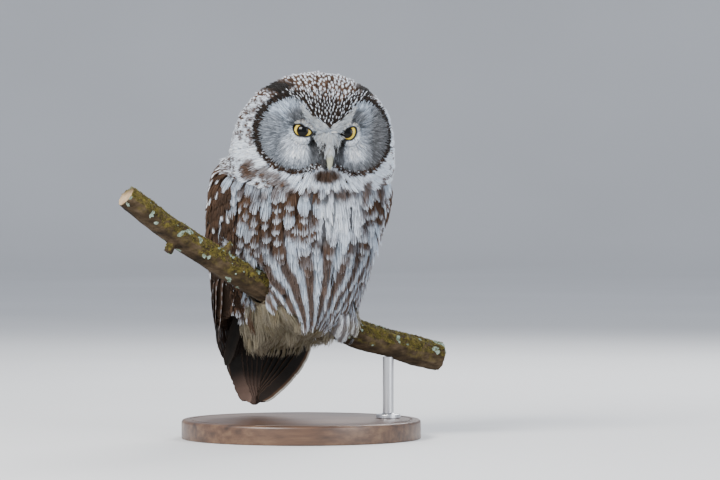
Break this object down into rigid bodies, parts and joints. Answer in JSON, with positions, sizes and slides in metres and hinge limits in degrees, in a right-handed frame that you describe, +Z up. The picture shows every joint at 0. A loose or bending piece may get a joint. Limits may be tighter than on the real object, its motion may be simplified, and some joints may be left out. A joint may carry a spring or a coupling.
{
  "type": "boreal owl display model",
  "caption": "Life-size boreal owl in winter plumage, feet closed round a short cut branch that a rod holds over a flat round display base.",
  "frame": {"origin": "middle of the underside of the stand's base", "axes": "+Z up, the bird faces -Y and a little to +X"},
  "size_m": [0.2372, 0.1821, 0.2695],
  "materials": {
    "plumage": "soft downy contour feathers, white with brown streaks and spots",
    "flight_feathers": "firm brown vanes with white spots",
    "bill_horn": "pale horn, satin",
    "claw_horn": "black horn, polished",
    "eye_glass": "glass eye, yellow iris behind a clear front",
    "bark": "brown bark with moss and lichen",
    "base_wood": "dark walnut, satin lacquer",
    "rod_steel": "satin steel"
  },
  "bodies": {
    "root": {"bill_lower": "bill_horn", "bill_upper": "bill_horn", "claw_left_1": "claw_horn", "claw_left_2": "claw_horn", "claw_left_3": "claw_horn", "claw_left_4": "claw_horn", "claw_right_1": "claw_horn", "claw_right_2": "claw_horn", "claw_right_3": "claw_horn", "claw_right_4": "claw_horn", "eye_left": "eye_glass", "eye_right": "eye_glass", "foot_left": "plumage", "foot_right": "plumage", "head": "plumage", "leg_left": "plumage", "leg_right": "plumage", "neck": "plumage", "perch": "bark", "primaries_left": "flight_feathers", "primaries_right": "flight_feathers", "stand_base": "base_wood", "stand_rod": "rod_steel", "tail": "flight_feathers", "trunk": "plumage", "vent": "plumage", "wing_left": "flight_feathers", "wing_right": "flight_feathers"}
  },
  "joints": []
}
